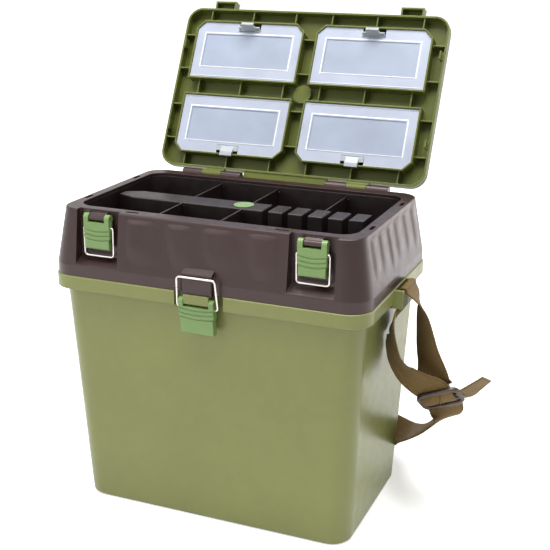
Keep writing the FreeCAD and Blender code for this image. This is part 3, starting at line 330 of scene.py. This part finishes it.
def pocket_cover(name):
    """Frosted cover: painted highlight on the frame line and the rim's edges, a grey-blue window inside the
    line darkened with painted shade of the pocket behind it, and a paler border outside it.

    The four covers share one pattern, mirrored about the lid's middle and about each cover's centre,
    and it is laid out on the lid as it lies shut.
    """
    line_full, line_end = 0.0004, 0.0011
    line_highlight_strength = 0.9
    border_blend = 0.0004
    edge_from, edge_full = 0.004, 0.008
    edge_highlight_strength = 0.7
    window_transmission = 0.2
    material, tree, shader = node_tree(name)
    place = object_place(tree)
    shut = add_node(tree, "ShaderNodeVectorRotate", {"rotation_type": "X_AXIS"}, Vector=place,
                    Center=lid_hinge, Angle=lid_open_angle)
    parts = add_node(tree, "ShaderNodeSeparateXYZ", Vector=shut.outputs["Vector"])
    sides = []
    for axis, middle, centre, half in (("X", 0.0, cover_centre_x, cover_frame_half_x),
                                       ("Y", cover_middle_y, cover_centre_y, cover_frame_half_y)):
        value = parts.outputs[axis]
        for shift in (middle, centre):
            value = math_node(tree, "ABSOLUTE", math_node(tree, "SUBTRACT", value, shift))
        sides.append(math_node(tree, "SUBTRACT", value, half))
    beyond = math_node(tree, "MAXIMUM", sides[0], sides[1])
    distance = math_node(tree, "ABSOLUTE", beyond)
    # Painted highlight along the raised frame line, full on the line and gone by 1.1 mm from it.
    line = ranged(tree, distance, (line_full, line_end), (line_highlight_strength, 0.0))
    border = ranged(tree, beyond, (-border_blend, border_blend), full_range)
    cloud = noise_at(tree, place, scale=24.0, detail=4.0)
    # The window's darker grey-blue is partly the cover's own tint and partly painted shade of the dim pocket
    # behind it.
    window_tint_and_shade = two_tone(tree, cloud, noise_middle, cover_window_tint_and_shade, darker=0.92, lighter=1.08)
    border_tone = two_tone(tree, cloud, noise_middle, cover_border, darker=0.93, lighter=1.07)
    body = mixed(tree, border, window_tint_and_shade, border_tone)
    mask = edge_mask(tree, frosted_highlight_radius)[0]
    # Painted highlight on the cover's rounded edges, coming in from 4 to 8 mm outside the frame line.
    rim_highlight = ranged(tree, beyond, (edge_from, edge_full), (0.0, edge_highlight_strength))
    frame_and_rim_highlight = math_node(tree, "MAXIMUM", line, math_node(tree, "MULTIPLY", mask, rim_highlight))
    tree.links.new(mixed(tree, frame_and_rim_highlight, body, rgba(cover_frame_highlight)), shader.inputs["Base Color"])
    clear = ranged(tree, frame_and_rim_highlight, full_range, (window_transmission, 0.0))
    tree.links.new(clear, shader.inputs["Transmission Weight"])
    tree.links.new(ranged(tree, cloud, noise_middle, (0.30, 0.40)), shader.inputs["Roughness"])
    grain = noise_at(tree, place, scale=700.0, detail=3.0)
    add_bump(tree, shader, Strength=0.03, Distance=0.0001, Height=grain)
    return material


def brushed_metal(name, colour, roughness):
    """Drawn wire or pin with uneven tone and fine lines."""
    material, tree, shader = node_tree(name)
    place = object_place(tree)
    patch = noise_at(tree, place, scale=120.0, detail=4.0)
    tone = two_tone(tree, patch, (0.35, 0.7), colour, darker=0.8, lighter=1.1)
    tree.links.new(tone, shader.inputs["Base Color"])
    wavering = ranged(tree, patch, noise_middle, (roughness - 0.08, roughness + 0.1))
    tree.links.new(wavering, shader.inputs["Roughness"])
    lines = noise_at(tree, stretched(tree, place, (300.0, 2500.0, 2500.0)), scale=1.0, detail=2.0)
    add_bump(tree, shader, Strength=0.2, Distance=0.0001, Height=lines)
    shader.inputs["Metallic"].default_value = 1.0
    return material


def woven_webbing(name, colour):
    """Flat woven webbing: ribs across the strap, warp lines along it, darker selvedges, frayed tone.

    The UV map gives the way along the strap and the place across it, both in metres.
    """
    gap_darker, gap_strength = 0.42, 0.55
    fuzz_lighter, fuzz_strength = 1.7, 0.45
    selvedge_darker, selvedge_strength = 0.5, 0.45
    selvedge_from, selvedge_full = 0.0172, 0.0188
    material, tree, shader = node_tree(name)
    uv = tree.nodes.new("ShaderNodeTexCoord").outputs["UV"]
    parts = add_node(tree, "ShaderNodeSeparateXYZ", Vector=uv)
    place = object_place(tree)
    waves = []
    for direction, scale, distortion in (("X", 170.0, 0.35), ("Y", 230.0, 0.25)):
        settings = {"wave_type": "BANDS", "bands_direction": direction, "wave_profile": "SIN"}
        waves.append(add_node(tree, "ShaderNodeTexWave", settings, Vector=uv, Scale=scale,
                              Distortion=distortion, Detail=2.0).outputs["Fac"])
    weave = math_node(tree, "MULTIPLY", waves[0], waves[1])
    fuzz = noise_at(tree, stretched(tree, uv, (60.0, 900.0, 1.0)), scale=1.0, detail=4.0)
    broad = noise_at(tree, place, scale=22.0, detail=3.0)
    tone = two_tone(tree, broad, noise_middle, colour, darker=0.82, lighter=1.18)
    gaps = ranged(tree, weave, (0.0, 0.6), (gap_strength, 0.0))
    threads = mixed(tree, gaps, tone, rgba(scaled(colour, gap_darker)))
    frayed = ranged(tree, fuzz, (0.45, 0.75), (0.0, fuzz_strength))
    lit = mixed(tree, frayed, threads, rgba(scaled(colour, fuzz_lighter)))
    off_middle = math_node(tree, "ABSOLUTE", parts.outputs["Y"])
    selvedge = ranged(tree, off_middle, (selvedge_from, selvedge_full), (0.0, selvedge_strength))
    edged = mixed(tree, selvedge, lit, rgba(scaled(colour, selvedge_darker)))
    tree.links.new(edged, shader.inputs["Base Color"])
    shader.inputs["Roughness"].default_value = 0.72
    shader.inputs["Specular IOR Level"].default_value = 0.2
    shader.inputs["Sheen Weight"].default_value = 0.06
    add_bump(tree, shader, Strength=0.75, Distance=0.0004, Height=weave)
    return material


def finish_nodes(finishes):
    """Gives every CAD node its material."""
    for name, obj in nodes.items():
        material = finishes[name]
        if not obj.material_slots:
            obj.data.materials.append(material)
        for slot in obj.material_slots:
            slot.material = material


def nurbs_points(name, points):
    """Points along the smooth route that the control points give."""
    order = 3
    steps_between_points = 12
    curve = bpy.data.curves.new(name, "CURVE")
    curve.dimensions = "3D"
    curve.resolution_u = steps_between_points
    spline = curve.splines.new("NURBS")
    spline.points.add(len(points) - 1)
    for target, point in zip(spline.points, points):
        target.co = (point[0], point[1], point[2], 1.0)
    spline.order_u = order
    spline.use_endpoint_u = True
    holder = bpy.data.objects.new(name, curve)
    bpy.context.scene.collection.objects.link(holder)
    bpy.context.view_layer.update()
    mesh = bpy.data.meshes.new_from_object(holder)
    found = [v.co.copy() for v in mesh.vertices]
    bpy.data.objects.remove(holder)
    bpy.data.meshes.remove(mesh)
    return found


def new_piece(name, bm, material, smooth=True):
    """Turns the finished bmesh into an object of the scene."""
    mesh = bpy.data.meshes.new(name)
    bm.to_mesh(mesh)
    bm.free()
    for polygon in mesh.polygons:
        polygon.use_smooth = smooth
    mesh.materials.append(material)
    piece = bpy.data.objects.new(name, mesh)
    bpy.context.scene.collection.objects.link(piece)
    return piece


def strap_section():
    """The webbing's closed section as (across, through) pairs, with rounded edges."""
    corner, shave, shoulder_share = 0.0006, 0.0001, 0.6
    steps = 8
    half = strap_width / 2
    thick = strap_thickness / 2
    flat_half = half - corner
    shoulder = (half - shave, thick * shoulder_share)
    top = []
    for index in range(steps + 1):
        share = -1.0 + 2.0 * index / steps
        top.append((share * flat_half, thick))
    right = [shoulder, (half, 0.0), (shoulder[0], -shoulder[1])]
    bottom = [(x, -z) for x, z in reversed(top)]
    left = [(-x, -z) for x, z in right]
    return top + right + bottom + left


def make_strap(material):
    """The strap's webbing: its section swept along the route, turned to each point's width direction."""
    half = strap_width / 2
    middle = nurbs_points("strap_middle", [point for point, wide in strap_route])
    edge = nurbs_points("strap_edge", [
        tuple(p + half * w for p, w in zip(point, Vector(wide).normalized())) for point, wide in strap_route])
    section = strap_section()
    bm = bmesh.new()
    uv_layer = bm.loops.layers.uv.new("strap_uv")
    rings = []
    travelled = [0.0]
    for index, centre in enumerate(middle):
        before = middle[max(index - 1, 0)]
        after = middle[min(index + 1, len(middle) - 1)]
        along = (after - before).normalized()
        across = edge[index] - centre
        across = (across - along * across.dot(along)).normalized()
        through = along.cross(across)
        rings.append([bm.verts.new(centre + across * a + through * t) for a, t in section])
        if index:
            travelled.append(travelled[-1] + (centre - middle[index - 1]).length)
    count = len(section)
    for index in range(len(rings) - 1):
        for corner in range(count):
            following = (corner + 1) % count
            spots = ((index, corner), (index, following), (index + 1, following), (index + 1, corner))
            face = bm.faces.new([rings[row][column] for row, column in spots])
            for loop, (row, column) in zip(face.loops, spots):
                loop[uv_layer].uv = (travelled[row], section[column][0])
    bm.faces.new(list(reversed(rings[0])))
    bm.faces.new(rings[-1])
    bmesh.ops.recalc_face_normals(bm, faces=bm.faces)
    piece = new_piece("strap_webbing", bm, material)
    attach(piece, "tub")
    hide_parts("shoulder_strap")
    return piece, middle, travelled[-1]


def swept_tube(bm, centres, frames, radius, closed):
    """A bar with a rounded square section along the centres; each frame is (sideways, up)."""
    steps = 12
    squareness = 0.6
    rings = []
    for centre, (side, up) in zip(centres, frames):
        ring = []
        for step in range(steps):
            turn = 2 * math.pi * step / steps
            c, s = math.cos(turn), math.sin(turn)
            across = math.copysign(abs(c) ** squareness, c) * radius
            through = math.copysign(abs(s) ** squareness, s) * radius
            ring.append(bm.verts.new(centre + side * across + up * through))
        rings.append(ring)
    following_rings = rings[1:] + rings[:1] if closed else rings[1:]
    for low, high in zip(rings, following_rings):
        for index in range(steps):
            following = (index + 1) % steps
            bm.faces.new((low[index], low[following], high[following], high[index]))
    if not closed:
        bm.faces.new(list(reversed(rings[0])))
        bm.faces.new(rings[-1])


def make_buckle(material):
    """The slide buckle: a closed frame with rounded corners and a thinner bar across its middle."""
    normal = buckle_along.cross(buckle_across).normalized()
    across = normal.cross(buckle_along).normalized()
    flat_along = buckle_half_along - buckle_turn
    flat_across = buckle_half_across - buckle_turn
    quarter_turn = 90
    corner_steps = 10
    centres = []
    frames = []
    for quarter, (a, c) in enumerate(((1, 1), (-1, 1), (-1, -1), (1, -1))):
        corner = buckle_centre + buckle_along * (a * flat_along) + across * (c * flat_across)
        for step in range(corner_steps + 1):
            turn = math.radians(quarter_turn * quarter + quarter_turn * step / corner_steps)
            out = buckle_along * math.cos(turn) + across * math.sin(turn)
            raised = buckle_long_rise * math.cos(turn) ** 2
            centres.append(corner + out * buckle_turn + normal * raised)
            frames.append((out, normal))
    bm = bmesh.new()
    swept_tube(bm, centres, frames, buckle_bar_half, closed=True)
    reach = buckle_half_across - buckle_middle_inset
    ends = [buckle_centre + across * (sign * reach) - normal * buckle_middle_drop for sign in (-1, 1)]
    bar_steps = 8
    bar = [ends[0].lerp(ends[1], step / bar_steps) for step in range(bar_steps + 1)]
    swept_tube(bm, bar, [(buckle_along, normal)] * len(bar), buckle_middle_radius, closed=False)
    bmesh.ops.recalc_face_normals(bm, faces=bm.faces)
    piece = new_piece("slide_buckle", bm, material)
    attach(piece, "tub")
    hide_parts("strap_buckle")


def smooth_step(value, low, high):
    share = min(1.0, max(0.0, (value - low) / (high - low)))
    return share * share * (3 - 2 * share)


def fold_height(u, v, folds, depth, seed):
    """Height of the folds at u along the wall and v up it, both 0 to 1.

    Each fold rises sharply on one side and runs out softly on the other, leans over near its foot, and
    starts at a height of its own. The whole fades out at the panel's edges.
    """
    lean_at_foot, lean_power = 0.22, 1.6
    waver, waver_along, waver_up = 0.22, 0.9, 0.7
    crest_from, crest_to = 0.30, 0.42
    mean_foot, foot_waver, foot_step = 0.20, 0.16, 1.7
    foot_below, foot_above = 0.14, 0.30
    top_fade, end_fade = 0.90, 0.05
    lean = lean_at_foot * (1 - v) ** lean_power
    spot = Vector((u * folds * waver_along, v * waver_up, seed))
    phase = u * folds - lean + waver * noise.noise(spot)
    number = math.floor(phase)
    fold = phase - number
    ridge = smooth_step(fold, 0.0, crest_from) * (1 - smooth_step(fold, crest_to, 1.0))
    foot = mean_foot + foot_waver * noise.noise(Vector((number * foot_step, seed, 2.0)))
    window = (smooth_step(v, foot - foot_below, foot + foot_above) * (1 - smooth_step(v, top_fade, 1.0))
              * smooth_step(u, 0.0, end_fade) * (1 - smooth_step(u, 1.0 - end_fade, 1.0)))
    return depth * ridge * window


def fluted_panel(name, low, high, along, length, folds, depth, seed, material):
    """Soft folds moulded into a housing wall: a closed thin body whose back lies inside the wall."""
    columns = 120
    rows = 30
    sunk = 0.00008
    back_depth = 0.001
    rise = high - low
    normal = along.cross(rise).normalized()
    bm = bmesh.new()
    fronts = []
    backs = []
    for row in range(rows + 1):
        v = row / rows
        front = []
        back = []
        for column in range(columns + 1):
            u = column / columns
            base = low + along * (length * u) + rise * v
            height = fold_height(u, v, folds, depth, seed)
            front.append(bm.verts.new(base + normal * (height - sunk)))
            back.append(bm.verts.new(base - normal * back_depth))
        fronts.append(front)
        backs.append(back)
    for row in range(rows):
        for column in range(columns):
            bm.faces.new((fronts[row][column], fronts[row][column + 1],
                          fronts[row + 1][column + 1], fronts[row + 1][column]))
            bm.faces.new((backs[row][column], backs[row + 1][column],
                          backs[row + 1][column + 1], backs[row][column + 1]))
    for row in range(rows):
        for column in (0, columns):
            bm.faces.new((fronts[row][column], fronts[row + 1][column],
                          backs[row + 1][column], backs[row][column]))
    for column in range(columns):
        for row in (0, rows):
            bm.faces.new((fronts[row][column], fronts[row][column + 1],
                          backs[row][column + 1], backs[row][column]))
    bmesh.ops.recalc_face_normals(bm, faces=bm.faces)
    piece = new_piece(name, bm, material)
    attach(piece, "housing")


def make_folds(material):
    """Folds on the front wall between the latches and on both short walls."""
    heights = (folds_low_z, folds_high_z)
    shares = [(z - housing_foot_z) / housing_taper_height for z in heights]
    front_y = [-(housing_foot_half_y - housing_taper_y * share) for share in shares]
    side_x = [housing_foot_half_x - housing_taper_x * share for share in shares]
    front_low, front_high = [Vector((-front_folds_half, y, z)) for y, z in zip(front_y, heights)]
    right_low, right_high = [Vector((x, -side_folds_half, z)) for x, z in zip(side_x, heights)]
    left_low, left_high = [Vector((-x, side_folds_half, z)) for x, z in zip(side_x, heights)]
    fluted_panel("front_folds", front_low, front_high, Vector((1, 0, 0)), length=2 * front_folds_half,
                 folds=4, depth=front_folds_depth, seed=3.1, material=material)
    fluted_panel("right_folds", right_low, right_high, Vector((0, 1, 0)), length=2 * side_folds_half,
                 folds=6, depth=side_folds_depth, seed=7.7, material=material)
    fluted_panel("left_folds", left_low, left_high, Vector((0, -1, 0)), length=2 * side_folds_half,
                 folds=6, depth=side_folds_depth, seed=5.3, material=material)


def make_camera():
    """The camera at the photograph's viewing angle."""
    azimuth = math.radians(camera_azimuth)
    elevation = math.radians(camera_elevation)
    roll = math.radians(camera_roll)
    back = Vector((math.sin(azimuth) * math.cos(elevation), -math.cos(azimuth) * math.cos(elevation),
                   math.sin(elevation)))
    level_right = (-back).cross(Vector((0, 0, 1))).normalized()
    level_up = level_right.cross(-back)
    right = math.cos(roll) * level_right + math.sin(roll) * level_up
    up = math.cos(roll) * level_up - math.sin(roll) * level_right
    data = bpy.data.cameras.new("photo_camera")
    data.lens = camera_lens
    data.sensor_width = camera_sensor
    data.shift_x = camera_shift
    camera = bpy.data.objects.new("photo_camera", data)
    bpy.context.scene.collection.objects.link(camera)
    matrix = Matrix((right, up, back)).transposed().to_4x4()
    matrix.translation = camera_place
    camera.matrix_world = matrix
    bpy.context.scene.camera = camera


def area_lamp(name, place, target, size, watts, colour=(1.0, 1.0, 1.0)):
    data = bpy.data.lights.new(name, "AREA")
    data.shape = "RECTANGLE"
    data.size = size[0]
    data.size_y = size[1]
    data.energy = watts
    data.color = colour
    lamp = bpy.data.objects.new(name, data)
    bpy.context.scene.collection.objects.link(lamp)
    lamp.location = place
    lamp.rotation_mode = "QUATERNION"
    lamp.rotation_quaternion = (Vector(target) - Vector(place)).to_track_quat("-Z", "Y")


def seen_or_mirrored(tree, path):
    """1 for what the camera or a reflection sees, else 0."""
    return math_node(tree, "MAXIMUM", path.outputs["Is Camera Ray"], path.outputs["Is Glossy Ray"])


def make_world(diffuse_level):
    """Even grey light on the object, and plain white for whatever looks straight at the surroundings."""
    world = bpy.data.worlds.new("studio")
    world.use_nodes = True
    bpy.context.scene.world = world
    tree = world.node_tree
    background = tree.nodes["Background"]
    path = tree.nodes.new("ShaderNodeLightPath")
    seen = seen_or_mirrored(tree, path)
    through = math_node(tree, "MAXIMUM", seen, path.outputs["Is Transmission Ray"])
    tree.links.new(ranged(tree, through, full_range, (diffuse_level, 1.0)), background.inputs["Strength"])
    background.inputs["Color"].default_value = (1.0, 1.0, 1.0, 1.0)


def make_floor():
    """Pale floor that keeps the object's shadow and fades to plain white away from it."""
    half_size = 8.0
    floor_grey = 0.86
    fade_from, fade_to = 0.5, 1.2
    near_glow, far_glow = 0.5, 1.0
    bm = bmesh.new()
    corners = ((-1, -1), (1, -1), (1, 1), (-1, 1))
    bm.faces.new([bm.verts.new((x * half_size, y * half_size, 0.0)) for x, y in corners])
    material, tree, shader = node_tree("floor_white")
    shader.inputs["Base Color"].default_value = (floor_grey, floor_grey, floor_grey, 1.0)
    shader.inputs["Roughness"].default_value = 0.9
    shader.inputs["Specular IOR Level"].default_value = 0.0
    seen = seen_or_mirrored(tree, tree.nodes.new("ShaderNodeLightPath"))
    distance = add_node(tree, "ShaderNodeVectorMath", {"operation": "LENGTH"})
    tree.links.new(object_place(tree), distance.inputs[0])
    fade = ranged(tree, distance.outputs["Value"], (fade_from, fade_to), (near_glow, far_glow))
    tree.links.new(math_node(tree, "MULTIPLY", seen, fade), shader.inputs["Emission Strength"])
    shader.inputs["Emission Color"].default_value = (1.0, 1.0, 1.0, 1.0)
    floor = new_piece("floor", bm, material, smooth=False)


make_camera()

# The pale edges that wear and edge_colour set are partly rubbing and partly painted highlight; on the tub's
# band and the lid's ribs they are mostly painted highlight.
tub_finish = moulded_plastic("tub_plastic", tub_green, roughness=0.36, wear_and_highlight_amount=0.9, blotch=0.06,
                             grain=0.2, specular=0.55, specular_tint=(1.0, 0.93, 0.78),
                             edge_colour=(0.36, 0.38, 0.20))
lid_finish = moulded_plastic("lid_plastic", lid_green, roughness=0.42, wear_and_highlight_amount=0.95, blotch=0.12,
                             edge=0.0008, specular=0.22, edge_colour=(0.36, 0.40, 0.19))
housing_finish = moulded_plastic("housing_plastic", housing_brown, roughness=0.34, wear_and_highlight=2.6,
                                 wear_and_highlight_amount=0.5, blotch=0.2, grain=0.3, specular_tint=(1.0, 0.84, 0.84))
tray_finish = moulded_plastic("tray_plastic", tray_black, roughness=0.40, wear_and_highlight=3.0, wear_and_highlight_amount=0.5,
                              blotch=0.2)
divider_finish = moulded_plastic("divider_plastic", tray_black, roughness=0.36, wear_and_highlight=6.0,
                                 wear_and_highlight_amount=0.9, edge=0.0007)
latch_finish = moulded_plastic("latch_plastic", latch_green, roughness=0.34, wear_and_highlight=1.7, wear_and_highlight_amount=0.6,
                               blotch=0.06, edge=0.0007)
badge_finish = moulded_plastic("badge_plastic", badge_green, roughness=0.35, wear_and_highlight=1.5, blotch=0.08,
                               edge=0.0004)
cover_finish = pocket_cover("cover_frosted_plastic")
clip_finish = frosted_plastic("clip_frosted_plastic", clip_white, transmission=0.40, roughness=0.30)
wire_finish = brushed_metal("bail_wire_metal", wire_pale, roughness=0.32)
pin_finish = brushed_metal("pin_metal", pin_grey, roughness=0.3)
webbing_finish = woven_webbing("webbing_weave", webbing_brown)
buckle_finish = moulded_plastic("buckle_moulding", buckle_brown, roughness=0.30, wear_and_highlight=2.6,
                                wear_and_highlight_amount=0.7, edge=0.0007)

finishes = {
    "lower_tub": tub_finish,
    "upper_housing": housing_finish,
    "tray_insert": tray_finish,
    "spine_badge": badge_finish,
    "lid_shell": lid_finish,
    "lid_latch_pins": pin_finish,
    "centre_latch_pin": pin_finish,
    "lid_hinge_pins": pin_finish,
    "rear_hinge_pins": pin_finish,
    "shoulder_strap": webbing_finish,
    "strap_buckle": buckle_finish,
}
family_finishes = {
    "divider_": divider_finish,
    "cover_": cover_finish,
    "clip_": clip_finish,
    "lever_": latch_finish,
    "bail_": wire_finish,
}
for node_name in nodes:
    for prefix, finish in family_finishes.items():
        if node_name.startswith(prefix):
            finishes[node_name] = finish
finish_nodes(finishes)

make_folds(housing_finish)
make_buckle(buckle_finish)
strap_piece, strap_line, strap_length = make_strap(webbing_finish)

make_world(diffuse_level=0.24)
area_lamp("top_lamp", place=(0.1, -0.3, 2.6), target=(0, 0, 0.3), size=(2.0, 1.6), watts=110.0)
area_lamp("key_lamp", place=(-1.4, -2.1, 1.5), target=(0, 0, 0.2), size=(1.6, 1.6), watts=20.0)
area_lamp("side_lamp", place=(1.4, 1.9, 0.6), target=(0, 0, 0.25), size=(2.0, 1.2), watts=13.0,
          colour=(1.0, 0.92, 0.90))
make_floor()
bpy.context.scene.view_settings.view_transform = "Standard"
